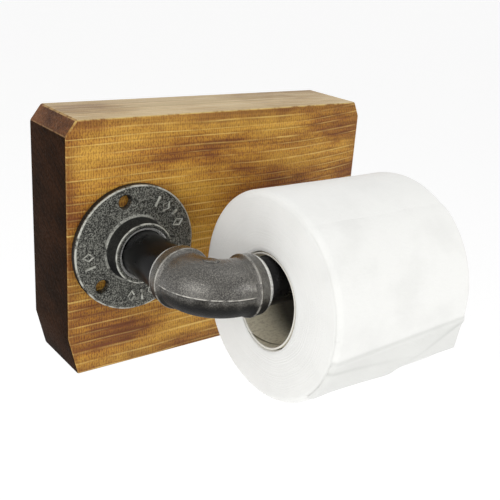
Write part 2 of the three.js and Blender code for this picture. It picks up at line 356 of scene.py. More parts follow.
@dataclass(frozen=True)
class StainedPine(Finish):
    """Pine under a rubbed-in stain, for one kind of face of the block."""

    name: str
    wood: str  # between the lines
    light: str  # where the stain took least
    dark: str  # where it gathered
    line: str  # the late wood's lines
    edge: str  # rubbed arrises
    line_share: float = 0.8
    dark_share: float = 0.75
    pore_share: float = 0.7
    roughness: float = 0.5
    ring: float = 0.0038
    gloss: float = 0.3
    rub: float = 0.7
    pooled: float = 0.0
    half_width: float = 0.105
    half_height: float = 0.075

    def wire(self, t: Tree, shader: bpy.types.Node, shared: SharedEffects) -> None:
        """Stain by ring, patch and pore, with pale lines and rubbed arrises."""
        rings = t.add("Group", node_tree=shared.rings)
        rings.inputs["Ring"].default_value = self.ring
        grain = rings.outputs
        patches = grain["Patches"]
        light = t.mix(t.span(patches, 0.36, 0.60, 0.85, 0.0), srgb(self.wood), srgb(self.light))
        gathered = t.math("MULTIPLY", t.span(patches, 0.50, 0.72), self.dark_share)
        banded = t.math("MULTIPLY", grain["Shade"], t.span(patches, 0.35, 0.68, 0.12, 0.75))
        dark = t.math("ADD", gathered, t.math("MULTIPLY", banded, self.dark_share), clamp=True)
        darkened = t.mix(dark, light, srgb(self.dark))
        stained = t.mix(t.math("MULTIPLY", self.edge_pool(t), self.pooled), darkened, srgb(self.dark))
        threshold = t.span(grain["Pores"], 0.50, 0.64)
        pored = t.math("MULTIPLY", threshold, t.span(patches, 0.38, 0.66, 0.45, 1.0))
        ticked = t.mix(t.math("MULTIPLY", pored, self.pore_share), stained, srgb(self.dark))
        streaks = t.span(grain["Fibre"], 0.35, 0.68, 0.86, 1.14)
        fibred = t.mix(
            1.0,
            ticked,
            t.add("CombineColor", {0: streaks, 1: streaks, 2: streaks}).outputs[0],
            "MULTIPLY",
        )
        clear = t.span(patches, 0.46, 0.66, self.line_share, self.line_share * 0.45)
        lined = t.mix(t.math("MULTIPLY", grain["Line"], clear), fibred, srgb(self.line))
        edges = t.add("Group", node_tree=shared.edges)
        edges.inputs["Amount"].default_value = self.rub
        t.feed(shader.inputs["Base Color"], t.mix(edges.outputs["Wear and Highlight"], lined, srgb(self.edge)))
        shader.inputs["Specular IOR Level"].default_value = self.gloss
        rough = t.span(grain["Fibre"], 0.3, 0.7, self.roughness + 0.1, self.roughness - 0.08)
        t.feed(shader.inputs["Roughness"], rough)
        relief = t.math(
            "ADD", t.math("MULTIPLY", grain["Line"], 0.6), t.math("MULTIPLY", grain["Fibre"], 0.8)
        )
        carved = t.math("SUBTRACT", relief, t.math("MULTIPLY", threshold, 0.7))
        t.feed(shader.inputs["Normal"], bump(t, carved, 0.00022))

    def edge_pool(self, t: Tree) -> bpy.types.NodeSocket:
        """Where the stain pooled: a ragged border inside the outline of the block's face."""
        place = t.add("TexCoord").outputs["Object"]
        axes = t.add("SeparateXYZ", {0: place}).outputs
        across = t.math("SUBTRACT", t.math("ABSOLUTE", axes[0]), self.half_width)
        up = t.math("SUBTRACT", t.math("ABSOLUTE", axes[2]), self.half_height)
        ragged = t.math("MULTIPLY", t.math("SUBTRACT", t.noise(place, 55.0, 3.0), 0.5), 0.022)
        return t.span(t.math("ADD", t.math("MAXIMUM", across, up), ragged), -0.012, 0.002)


@dataclass(frozen=True)
class CastIron(Finish):
    """Iron as it left the sand: grey, grainy, and bright where it has been rubbed and where a painted
    highlight is marked, with painted shade on the surfaces that face down.
    """

    name: str
    iron: str
    stain: str
    glint: str
    rubbed: str
    grains: float = 1300.0
    depth: float = 0.00022
    metallic: float = 0.75
    roughness: float = 0.42
    glint_share: float = 0.7
    # painted shade: the colour of the surfaces that face down
    under: str = "0D0C0B"
    rub: float = 0.8
    oil: float = 0.0

    def wire(self, t: Tree, shader: bpy.types.Node, shared: SharedEffects) -> None:
        """Grain from the casting group, with glints on its crests, rubbed edges, painted highlights and
        painted shade on the surfaces that face down.
        """
        casting = t.add("Group", node_tree=shared.casting)
        casting.inputs["Grains per Metre"].default_value = self.grains
        sand = casting.outputs
        edges = t.add("Group", node_tree=shared.edges)
        edges.inputs["Amount"].default_value = self.rub
        wear_and_highlight = edges.outputs["Wear and Highlight"]
        facing_up = t.add("Group", node_tree=shared.dust_and_underside_shade).outputs["Facing Up"]
        base = t.mix(t.span(sand["Stains"], 0.38, 0.66), srgb(self.iron), srgb(self.stain))
        glinting = t.mix(t.math("MULTIPLY", sand["Glints"], self.glint_share), base, srgb(self.glint))
        # Painted shade: surfaces that face down take the under colour.
        shaded = t.mix(facing_up, srgb(self.under), glinting)
        t.feed(shader.inputs["Base Color"], t.mix(wear_and_highlight, shaded, srgb(self.rubbed)))
        shader.inputs["Metallic"].default_value = self.metallic
        rough = t.span(sand["Stains"], 0.3, 0.7, self.roughness - 0.05, self.roughness + 0.08)
        dull = t.span(facing_up, 0.0, 1.0, 0.35, 0.0)
        t.feed(
            shader.inputs["Roughness"],
            t.math("ADD", rough, t.math("MULTIPLY", dull, t.span(wear_and_highlight, 0.0, 1.0, 1.0, 0.0))),
        )
        shader.inputs["Specular IOR Level"].default_value = 0.35
        t.feed(shader.inputs["Coat Weight"], t.span(facing_up, 0.4, 1.0, 0.0, self.oil))
        shader.inputs["Coat Roughness"].default_value = 0.26
        grain = bump(t, sand["Height"], self.depth)
        t.feed(shader.inputs["Normal"], grain)
        t.feed(shader.inputs["Coat Normal"], grain)


@dataclass(frozen=True)
class MachinedIronHighlight(Finish):
    """A cut face on a fitting: bare machined iron, painted near white as a highlight that stands for the
    lamps' reflection.
    """

    name: str = "machined_iron_painted_highlight"
    highlight_tone: str = "F0F0EC"
    shade: str = "B4B2AE"
    metallic: float = 0.6

    def wire(self, t: Tree, shader: bpy.types.Node, shared: SharedEffects) -> None:
        """A near-white painted highlight with a fine grain and a few dull spots."""
        casting = t.add("Group", node_tree=shared.casting)
        sand = casting.outputs
        t.feed(
            shader.inputs["Base Color"],
            t.mix(t.span(sand["Stains"], 0.45, 0.7), srgb(self.highlight_tone), srgb(self.shade)),
        )
        shader.inputs["Metallic"].default_value = self.metallic
        t.feed(shader.inputs["Roughness"], t.span(sand["Height"], 0.3, 0.7, 0.22, 0.36))
        t.feed(shader.inputs["Normal"], bump(t, sand["Height"], 0.00005))


@dataclass(frozen=True)
class BlackPipe(Finish):
    """Black lacquered pipe: glossy, with faint rolling marks along it."""

    name: str
    lacquer: str
    dust_and_underside_shade: str
    along: tuple[float, float, float]

    def wire(self, t: Tree, shader: bpy.types.Node, shared: SharedEffects) -> None:
        """Near-black gloss with drawn streaks and faint dusty clouds; no rubbing marks are written on the
        pipes, so the rubbed colour stays unseen.
        """
        place = t.add("TexCoord").outputs["Object"]
        drawn = t.noise(t.stretched(place, self.along), 1.0, 3.0, 0.6)
        cloudy = t.noise(place, 70.0, 3.0)
        wear_and_highlight = t.add("Group", node_tree=shared.edges).outputs["Wear and Highlight"]
        dusty = t.mix(t.span(cloudy, 0.48, 0.75, 0.0, 0.5), srgb(self.lacquer), srgb(self.dust_and_underside_shade))
        t.feed(shader.inputs["Base Color"], t.mix(wear_and_highlight, dusty, srgb("8E8D8B")))
        shader.inputs["Metallic"].default_value = 0.3
        shader.inputs["Specular IOR Level"].default_value = 0.3
        t.feed(shader.inputs["Roughness"], t.span(cloudy, 0.3, 0.7, 0.22, 0.38))
        t.feed(shader.inputs["Normal"], bump(t, drawn, 0.00006))


@dataclass(frozen=True)
class Cardboard(Finish):
    """The core's grey board, wound in a spiral whose seam shows as a dark line, with painted shade deep
    inside the tube.
    """

    name: str = "spiral_board"
    board: str = "EAE2CA"
    fleck: str = "CCC2AA"
    seam: str = "857B68"
    # painted shade deep inside the tube, away from both ends
    deep_shade: str = "2E2A22"
    rim: str = "D8D5CC"
    left: float = -0.027
    right: float = 0.073
    pitch: float = 0.082
    axis_y: float = -0.125
    axis_z: float = -0.0102

    def wire(self, t: Tree, shader: bpy.types.Node, shared: SharedEffects) -> None:
        """Flecked board with one helical seam about the core's axis, and painted shade that deepens away from
        both ends.
        """
        place = t.add("TexCoord").outputs["Object"]
        centred = t.add("Mapping", {0: place, 1: (0.0, -self.axis_y, -self.axis_z)}).outputs[0]
        axes = t.add("SeparateXYZ", {0: centred}).outputs
        turn = t.math("DIVIDE", t.math("ARCTAN2", axes[2], axes[1]), 2 * math.pi)
        helix = t.math("FRACT", t.math("ADD", t.math("DIVIDE", axes[0], self.pitch), turn))
        seam = t.math("MULTIPLY", t.span(helix, 0.475, 0.492), t.span(helix, 0.494, 0.502, 1.0, 0.0))
        fibre = t.noise(t.stretched(centred, (420.0, 900.0, 900.0)), 1.0, 4.0, 0.65)
        mottled = t.mix(t.span(fibre, 0.42, 0.70), srgb(self.board), srgb(self.fleck))
        wound = t.mix(seam, mottled, srgb(self.seam))
        # Painted shade: the board darkens with the distance from the nearer end of the tube.
        from_left = t.math("SUBTRACT", axes[0], self.left)
        inward = t.math("MINIMUM", from_left, t.math("SUBTRACT", self.right, axes[0]))
        deep_shade = t.span(inward, 0.014, 0.030, 0.0, 0.92)
        shaded = t.mix(deep_shade, wound, srgb(self.deep_shade))
        rim = t.span(inward, 0.0010, 0.0016, 1.0, 0.0)
        t.feed(shader.inputs["Base Color"], t.mix(rim, shaded, srgb(self.rim)))
        shader.inputs["Roughness"].default_value = 0.88
        relief = t.math("SUBTRACT", t.math("MULTIPLY", fibre, 0.3), seam)
        t.feed(shader.inputs["Normal"], bump(t, relief, 0.00035))


@dataclass(frozen=True)
class Tissue(Finish):
    """White tissue: soft and matt, with crepe across the web and painted shade along the folds of the loose
    end.
    """

    name: str
    paper: str = "E3E3E0"
    shade: str = "DDDDDA"
    # painted shade along the folds of the loose end
    fold: str = "BFC0BC"
    web: tuple[float, float, float] = (420.0, 1300.0, 1300.0)
    wound: bool = False
    axis_y: float = -0.125
    axis_z: float = -0.0102

    def wire(self, t: Tree, shader: bpy.types.Node, shared: SharedEffects) -> None:
        """Crepe, a slow unevenness, the edges of the windings on a roll's ends, and painted shade along
        folds.
        """
        crepe = t.add("Group", node_tree=shared.crepe)
        crepe.inputs["Web"].default_value = self.web
        height = t.math("MULTIPLY", crepe.outputs["Height"], 0.55)
        tone = crepe.outputs["Slow"]
        if self.wound:
            windings = self.windings(t)
            height = t.math("ADD", height, windings)
            tone = t.math("ADD", t.math("MULTIPLY", tone, 0.6), t.math("MULTIPLY", windings, 0.4))
        # Painted shade along the folds, read from the loose end's attribute.
        painted_crease_shade = t.add("Attribute", attribute_name="painted_crease_shade").outputs["Fac"]
        plain = t.mix(t.span(tone, 0.38, 0.70), srgb(self.paper), srgb(self.shade))
        t.feed(shader.inputs["Base Color"], t.mix(painted_crease_shade, plain, srgb(self.fold)))
        shader.inputs["Roughness"].default_value = 0.92
        shader.inputs["Sheen Weight"].default_value = 0.25
        shader.inputs["Subsurface Weight"].default_value = 0.12
        shader.inputs["Subsurface Radius"].default_value = (0.004, 0.004, 0.004)
        relief = t.math("ADD", height, t.math("MULTIPLY", crepe.outputs["Slow"], 1.6))
        t.feed(shader.inputs["Normal"], bump(t, relief, 0.00028))

    def windings(self, t: Tree) -> bpy.types.NodeSocket:
        """Noise by the distance from the roll's axis, so that it makes rings on its ends."""
        place = t.add("TexCoord").outputs["Object"]
        centred = t.add("Mapping", {0: place, 1: (0.0, -self.axis_y, -self.axis_z)}).outputs[0]
        flat = t.stretched(centred, (0.0, 1.0, 1.0))
        radius = t.add("VectorMath", {0: flat}, operation="LENGTH").outputs["Value"]
        swayed = t.math("ADD", radius, t.math("MULTIPLY", t.noise(centred, 60.0, 1.0), 0.0022))
        return t.noise(t.add("CombineXYZ", {0: swayed}).outputs[0], 780.0, 3.0, 0.6)


@dataclass(frozen=True)
class ScrewSteel(Finish):
    """Bright zinc-plated steel."""

    name: str = "screw_steel"

    def wire(self, t: Tree, shader: bpy.types.Node, shared: SharedEffects) -> None:
        """Plated steel with a slight cloudiness."""
        place = t.add("TexCoord").outputs["Object"]
        cloudy = t.noise(place, 500.0, 3.0)
        t.feed(shader.inputs["Base Color"], t.mix(t.span(cloudy, 0.35, 0.7), srgb("B9B8B2"), srgb("8F8C83")))
        shader.inputs["Metallic"].default_value = 1.0
        t.feed(shader.inputs["Roughness"], t.span(cloudy, 0.3, 0.7, 0.25, 0.42))


PINE_FACE = StainedPine(
    "pine_face", "A8721E", "C99A3A", "6A360A", "DDB866", "CDAE66", 0.82, 0.76, 0.92, pooled=0.7
)
# A paler, greyer copy of the face finish: painted light from above and grazing sheen on the top.
PINE_TOP_LIT = StainedPine(
    "pine_top_painted_light", "B3966A", "CDB68C", "7E6040", "D8CAA6", "CDBB8E", 0.6, 0.5, 0.25, ring=0.0042
)
# End grain, also used as painted shade on the clipped faces that look down.
PINE_END_AND_SHADE = StainedPine(
    "pine_end_grain_and_shade", "221206", "2E1A0C", "140A03", "0E0702", "5A3C22", 0.8, 0.6, 0.3, 0.8, 0.0046, 0.05, 0.3
)
PINE_CLIP = StainedPine(
    "pine_clip", "5E3A20", "74492A", "3A2112", "86603C", "BE9C66", 0.4, 0.6, 0.5, 0.6, gloss=0.15
)
# The last colour given to each iron is painted shade for the surfaces that face down.
FLANGE_IRON = CastIron(
    "flange_iron", "2E2E2B", "22221F", "93938A", "C4C4BA", 1450.0, 0.00042, 0.5, 0.42, 0.9, "1A1A18"
)
# A darker copy of the flange's iron: painted shade on the walls that face sideways.
HUB_IRON_SHADE = CastIron(
    "hub_iron_painted_shade", "1D1D1B", "141413", "4A4A45", "B0B0A8", 1450.0, 0.00030, 0.5, 0.48, 0.5, "0A0A09"
)
ELBOW_IRON = CastIron(
    "elbow_iron", "3A3732", "2B2824", "A09C92", "D0CCC2", 1700.0, 0.00026, 0.65, 0.24, 0.4, oil=1.0
)
# Cut faces of bare machined iron, painted near white as a highlight for the lamps' reflection.
CUT_IRON_HIGHLIGHT = MachinedIronHighlight()
MOUTH_IRON_HIGHLIGHT = MachinedIronHighlight("mouth_iron_painted_highlight", "F0F0EC", "8A8884", 0.4)
NIPPLE_BLACK = BlackPipe("nipple_black", "070708", "111112", (900.0, 40.0, 900.0))
ARM_BLACK = BlackPipe("arm_black", "070708", "111112", (40.0, 900.0, 900.0))
CORE_BOARD = Cardboard()
ROLL_TISSUE = Tissue("roll_tissue", wound=True)
TAIL_TISSUE = Tissue("tail_tissue")
STEEL = ScrewSteel()


class PaintShop:
    """Makes each finish once and dresses pieces in it."""

    def __init__(self) -> None:
        """Builds the shared effects."""
        self.shared = SharedEffects.build()
        self.made: dict[str, bpy.types.Material] = {}

    def material(self, finish: Finish) -> bpy.types.Material:
        """The material of a finish, made the first time that it is asked for."""
        if finish.name not in self.made:
            self.made[finish.name] = finish.make(self.shared)
        return self.made[finish.name]

    def dress(
        self, piece: bpy.types.Object, finish: Finish, exceptions: Sequence[tuple[Finish, Test]] = ()
    ) -> None:
        """Dresses a piece.

        Args:
            piece: The piece.
            finish: What most of it wears.
            exceptions: Further finishes, each with the test of a face's centre and normal that it is for.
        """
        piece.data.materials.clear()
        piece.data.materials.append(self.material(finish))
        for place, (other, test) in enumerate(exceptions, start=1):
            piece.data.materials.append(self.material(other))
            for face in piece.data.polygons:
                if test(face.center, face.normal):
                    face.material_index = place


# ---- The bench: edit-mode work that the sub-assemblies share -------------------------------------


def clear_bench() -> None:
    """Leaves edit mode and deselects everything."""
    if bpy.context.object and bpy.context.object.mode != "OBJECT":
        bpy.ops.object.mode_set(mode="OBJECT")
    bpy.ops.object.select_all(action="DESELECT")


def take_up(piece: bpy.types.Object) -> None:
    """Makes a piece the one that operators act on."""
    clear_bench()
    piece.select_set(True)
    bpy.context.view_layer.objects.active = piece


def name_piece(name: str) -> bpy.types.Object:
    """Names the piece that was just added."""
    piece = bpy.context.object
    piece.name = name
    piece.data.name = name
    return piece


def arc(x: float, y: float, radius: float, start: float, end: float, steps: int) -> list[Point]:
    """Points along an arc of an outline.

    Args:
        x: The centre's first coordinate.
        y: The centre's second coordinate.
        radius: The arc's radius.
        start: Its first angle, in degrees.
        end: Its last angle, in degrees.
        steps: How many chords it has.

    Returns:
        The points, both ends included.
    """
    angles = [math.radians(start + (end - start) * i / steps) for i in range(steps + 1)]
    return [(x + radius * math.cos(a), y + radius * math.sin(a)) for a in angles]


def turned(name: str, outline: Sequence[Point], steps: int) -> bpy.types.Object:
    """Turns a piece about Z: one vertex is drawn along the outline and spun round.

    Args:
        name: The piece's name.
        outline: Radius and height of each point; it closes on itself, or starts and ends on the axis.
        steps: How many sides the piece has.

    Returns:
        The piece, closed and facing outward.
    """
    clear_bench()
    bpy.ops.mesh.primitive_plane_add(size=0.01, location=(0, 0, 0), enter_editmode=True)
    piece = name_piece(name)
    bpy.ops.mesh.merge(type="CENTER")
    radius, height = outline[0]
    bpy.ops.transform.translate(value=(radius, 0, height))
    for (r0, h0), (r1, h1) in zip(outline, outline[1:]):
        bpy.ops.mesh.extrude_vertices_move(TRANSFORM_OT_translate={"value": (r1 - r0, 0, h1 - h0)})
    bpy.ops.mesh.select_all(action="SELECT")
    bpy.ops.mesh.spin(steps=steps, angle=2 * math.pi, center=(0, 0, 0), axis=(0, 0, 1))
    bpy.ops.mesh.select_all(action="SELECT")
    bpy.ops.mesh.remove_doubles(threshold=1e-6)
    bpy.ops.mesh.normals_make_consistent(inside=False)
    bpy.ops.object.mode_set(mode="OBJECT")
    return piece


def select_faces(piece: bpy.types.Object, test: Test) -> None:
    """Opens a piece in edit mode with the faces selected whose centre and normal pass a test."""
    bpy.ops.object.mode_set(mode="EDIT")
    bpy.ops.mesh.select_mode(type="FACE")
    bpy.ops.mesh.select_all(action="DESELECT")
    bpy.ops.object.mode_set(mode="OBJECT")
    for face in piece.data.polygons:
        face.select = test(face.center, face.normal)
    bpy.ops.object.mode_set(mode="EDIT")


def set_down(piece: bpy.types.Object, place: Sequence[float], axis: Axis = Axis.UP) -> None:
    """Turns and moves a piece into the holder's frame, and applies that to its mesh."""
    take_up(piece)
    piece.rotation_euler = axis.value
    piece.location = place
    bpy.ops.object.transform_apply(location=True, rotation=True, scale=True)


def carve(piece: bpy.types.Object, tool: bpy.types.Object, operation: str = "DIFFERENCE") -> None:
    """Cuts a piece with another, or joins the other to it, and clears the other away."""
    take_up(piece)
    cut = piece.modifiers.new("carve", "BOOLEAN")
    cut.object, cut.operation, cut.solver = tool, operation, "EXACT"
    bpy.ops.object.modifier_apply(modifier=cut.name)
    bpy.data.objects.remove(tool)


def join(piece: bpy.types.Object, others: Sequence[bpy.types.Object]) -> None:
    """Joins other meshes to a piece, each still a closed shell of its own."""
    take_up(piece)
    for other in others:
        other.select_set(True)
    bpy.ops.object.join()


def soften(piece: bpy.types.Object, width: float, segments: int = 2, angle: float = 30.0) -> None:
    """Rounds every edge that is sharper than an angle, given in degrees."""
    take_up(piece)
    edge = piece.modifiers.new("soften", "BEVEL")
    edge.width, edge.segments, edge.angle_limit = width, segments, math.radians(angle)
    bpy.ops.object.modifier_apply(modifier=edge.name)


def smooth(piece: bpy.types.Object, angle: float = 35.0) -> None:
    """Shades a piece smooth, with edges sharper than an angle in degrees kept crisp."""
    take_up(piece)
    bpy.ops.object.shade_smooth_by_angle(angle=math.radians(angle))


def mark_wear_and_highlight(piece: bpy.types.Object, amount: Callable[[Vector], float]) -> None:
    """Writes each vertex's marks of rubbing and painted highlight, for the finishes to read."""
    marks = piece.data.attributes.new("worn_and_highlight", "FLOAT", "POINT")
    marks.data.foreach_set("value", [amount(v.co) for v in piece.data.vertices])


def centre_of(node: str) -> Vector:
    """The middle of a CAD node's box."""
    low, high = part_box(node)
    return (low + high) / 2


# ---- Sub-assemblies ------------------------------------------------------------------------------


@dataclass
class PineBlock:
    """The block on the wall: sawn pine with clipped corners, sanded arrises and a rubbed-in stain."""

    shop: PaintShop
    clips: dict[tuple[int, int], Point] = field(
        default_factory=lambda: {
            (-1, 1): (0.0066, 0.0090),
            (-1, -1): (0.0058, 0.0240),
            (1, 1): (0.0045, 0.0095),
            (1, -1): (0.0060, 0.0090),
        }
    )
    arris: float = 0.0012
    pilot: float = 0.00205

    def build(self) -> list[bpy.types.Object]:
        """Saws, clips, sands and stains the block.

        Returns:
            The block.
        """
        low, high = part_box("backboard")
        clear_bench()
        bpy.ops.mesh.primitive_cube_add(size=1, location=(low + high) / 2, scale=high - low)
        block = name_piece("pine_block")
        bpy.ops.object.transform_apply(location=True, rotation=True, scale=True)
        bpy.ops.object.mode_set(mode="EDIT")
        for (side, level), (run, rise) in self.clips.items():
            corner = Vector((high.x if side > 0 else low.x, 0, high.z if level > 0 else low.z))
            self.clip(corner - Vector((side * run, 0, 0)), Vector((side * rise, 0, level * run)))
        bpy.ops.object.mode_set(mode="OBJECT")
        soften(block, self.arris, 4, 20)
        self.mark_arrises(block)
        self.pilot_hole(block)
        smooth(block, 40)
        self.stain(block)
        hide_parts("backboard")
        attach(block, "holder")
        return [block]

    @staticmethod
    def clip(point: Vector, normal: Vector) -> None:
        """Saws off what lies beyond a plane, and closes the cut."""
        bpy.ops.mesh.select_all(action="SELECT")
        bpy.ops.mesh.bisect(plane_co=point, plane_no=normal.normalized(), use_fill=True, clear_outer=True)

    def pilot_hole(self, block: bpy.types.Object) -> None:
        """Drills the hole that the flange's screw is driven into."""
        low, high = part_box("flange_screw")
        front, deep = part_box("backboard")[0].y, high.y + 0.0005
        outline = [
            (0.0, 0.0),
            (self.pilot, 0.0),
            (self.pilot, deep - front + 0.001),
            (0.0, deep - front + 0.001),
        ]
        drill = turned("drill", outline, 24)
        set_down(drill, ((low.x + high.x) / 2, deep, (low.z + high.z) / 2), Axis.OUT)
        carve(block, drill)

    @staticmethod
    def mark_arrises(block: bpy.types.Object) -> None:
        """Marks as rubbed the vertices inside the rounded arrises, which touch no broad face."""
        broad = {v for face in block.data.polygons if face.area > 1e-4 for v in face.vertices}
        marks = block.data.attributes.new("worn_and_highlight", "FLOAT", "POINT")
        top = max(v.co.z for v in block.data.vertices)

        def worn_and_highlight(v: bpy.types.MeshVertex) -> float:
            """The top arrises are marked strongest."""
            return 0.0 if v.index in broad else 1.0 if v.co.z > top - 0.002 else 0.55

        marks.data.foreach_set("value", [worn_and_highlight(v) for v in block.data.vertices])

    def stain(self, block: bpy.types.Object) -> None:
        """End grain took the stain darkest. The top and bottom take a paler, greyer copy of the face's
        finish, as painted light from above and grazing sheen; the clipped faces that look down take the dark
        end-grain finish as painted shade.
        """

        def clipped(normal: Vector) -> bool:
            """Whether a face belongs to a clipped corner."""
            return abs(normal.x) > 0.25 and abs(normal.z) > 0.25 and abs(normal.y) < 0.5

        self.shop.dress(
            block,
            PINE_FACE,
            [
                # painted light: the top and bottom take the paler copy
                (PINE_TOP_LIT, lambda _, n: abs(n.z) > 0.75),
                (PINE_END_AND_SHADE, lambda _, n: abs(n.x) > 0.75),
                (PINE_CLIP, lambda _, n: clipped(n) and n.z > 0),
                # painted shade: clipped faces that look down take the dark end-grain finish
                (PINE_END_AND_SHADE, lambda _, n: clipped(n) and n.z < 0),
            ],
        )


@dataclass
class FloorFlange:
    """The cast flange on the block, with its screw holes, casting marks and one wood screw."""

    shop: PaintShop
    plate: float = 0.005
    hub_radius: float = 0.018
    hub_root: float = 0.0186
    fillet: float = 0.0022
    gap: float = 0.0003
    bore: float = 0.01375
    hole: float = 0.0039
    hole_rim: float = 0.0011
    hole_circle: float = 0.029
    hole_angles: tuple[float, ...] = (104.0, 224.0, 344.0)
    mark_sectors: tuple[tuple[float, int], ...] = ((44.0, 4), (188.0, 2), (284.0, 4))
    mark_step: float = 13.0
    recess_length: float = 0.0044
    recess_width: float = 0.0009
    recess_depths: tuple[float, float] = (0.0026, 0.0029)
    recess_turn: float = 20.0

    def build(self) -> list[bpy.types.Object]:
        """Casts the flange and drives the screw.

        Returns:
            The flange and the screw.
        """
        low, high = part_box("floor_flange")
        self.radius = (high.x - low.x) / 2
        self.back = high.y + self.gap
        self.height = self.back - low.y
        self.centre = Vector(((low.x + high.x) / 2, self.back, 0))
        return [self.flange(), self.screw()]

    def outline(self) -> list[Point]:
        """The section: plate, filleted foot, tapered hub with a rounded lip, and the bore."""
        r, h, lip = self.radius, self.height, 0.0007
        return [
            (r - 0.0004, self.gap),
            (r, self.gap + 0.0004),
            (r, self.plate - 0.0014),
            *arc(r - 0.0008, self.plate - 0.0008, 0.0008, 0, 90, 5),
            (r - 0.0013, self.plate),
            (0.030, self.plate),
            *arc(self.hub_root + self.fillet, self.plate + self.fillet, self.fillet, 270, 187, 9),
            (self.hub_radius, h - 0.0013),
            *arc(self.hub_radius - lip, h - lip, lip, 0, 90, 5),
            (self.hub_radius - 0.0013, h),
            (self.bore + 0.0016, h),
            (self.bore, h - 0.0012),
            (self.bore, self.gap),
            (r - 0.0004, self.gap),
        ]

    def flange(self) -> bpy.types.Object:
        """The flange: turned, marked, drilled and put on the block."""
        piece = turned("cast_flange", self.outline(), 144)
        for angle in self.hole_angles:
            carve(piece, self.hole_tool(math.radians(angle)))
        join(piece, self.casting_marks())
        set_down(piece, self.centre, Axis.OUT)
        rim, face, lip = self.radius - 0.0009, self.back - self.plate, self.back - self.height
        centre = self.centre

        def wear_and_highlight(co: Vector) -> float:
            """Rims, marks and the hub's lip are rubbed; the ring at the hub's foot is a painted highlight."""
            radius = math.hypot(co.x - centre.x, co.z)
            on_rim = radius > rim and co.y < face + 0.0006
            on_lip = radius > self.hub_radius - 0.0008 and co.y < lip + 0.0006
            on_mark = radius > 0.024 and co.y < face - 0.0002
            # Painted highlight on the ring round the hub's foot.
            foot_highlight = self.hub_root < radius < self.hub_root + 0.0016 and co.y > face - 0.0012
            return 1.0 if on_mark else 0.85 if on_rim or on_lip else 0.6 if foot_highlight else 0.0

        mark_wear_and_highlight(piece, wear_and_highlight)
        smooth(piece, 38)
        bore, top, rim_wall, foot = self.bore, lip + 0.0017, self.radius - 0.0002, self.hub_root + 0.0007

        def chamfer(co: Vector, _: Vector) -> bool:
            """The cut chamfer at the hub's mouth, which wears the painted highlight."""
            radius = math.hypot(co.x - centre.x, co.z)
            return radius < bore + 0.0016 and co.y < top

        def wall(co: Vector, normal: Vector) -> bool:
            """The walls of the hub and the rim, which face sideways and take a darker copy of the iron as
            painted shade.
            """
            radius = math.hypot(co.x - centre.x, co.z)
            upright = abs(normal.y) < 0.6
            return upright and (bore + 0.001 < radius < foot or (radius > rim_wall and co.y > face + 0.0012))

        self.shop.dress(piece, FLANGE_IRON, [(CUT_IRON_HIGHLIGHT, chamfer), (HUB_IRON_SHADE, wall)])
        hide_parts("floor_flange")
        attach(piece, "holder")
        return piece

    def casting_marks(self) -> list[bpy.types.Object]:
        """Plain lozenges and dashes, raised on the plate between the screw holes."""
        marks = []
        for middle, count in self.mark_sectors:
            for i in range(count):
                angle = math.radians(middle + (i - (count - 1) / 2) * self.mark_step)
                marks.append(self.mark(angle, lozenge=i % 2 == 0))
        return marks

    def mark(self, angle: float, lozenge: bool) -> bpy.types.Object:
        """One raised mark at an angle from +X toward +Z."""
        clear_bench()
        if lozenge:
            bpy.ops.mesh.primitive_cylinder_add(vertices=4, radius=0.0039, depth=0.0014)
            bpy.ops.transform.resize(value=(1.0, 0.66, 1.0))
        else:
            bpy.ops.mesh.primitive_cube_add(size=1, scale=(0.0066, 0.0013, 0.0014))
        mark = name_piece("mark")
        bpy.ops.object.transform_apply(location=True, rotation=True, scale=True)
        if lozenge:
            self.hollow_out(mark)
        soften(mark, 0.0002, 2)
        mark.matrix_world = Matrix.Rotation(angle, 4, "Z") @ Matrix.Translation((0.0295, 0, self.plate))
        return mark

    @staticmethod
    def hollow_out(mark: bpy.types.Object) -> None:
        """Sinks the middle of a mark's top, so that only its outline stands up."""
        select_faces(mark, lambda _, normal: normal.z > 0.9)
        bpy.ops.mesh.inset(thickness=0.0009, depth=0)
        bpy.ops.transform.translate(value=(0, 0, -0.0006))
        bpy.ops.mesh.select_mode(type="VERT")
        bpy.ops.object.mode_set(mode="OBJECT")

    def hole_tool(self, angle: float) -> bpy.types.Object:
        """The cutter of one screw hole, whose mouth opens in a quarter round."""
        mouth = arc(self.hole + self.hole_rim, self.plate - self.hole_rim, self.hole_rim, 180, 90, 6)
        over = self.plate + 0.002
        outline = [(0.0, -0.001), (self.hole, -0.001), *mouth, (self.hole + self.hole_rim, over), (0.0, over)]
        tool = turned("hole_tool", outline, 40)
        tool.location = (self.hole_circle * math.cos(angle), self.hole_circle * math.sin(angle), 0)
        bpy.context.view_layer.update()
        return tool

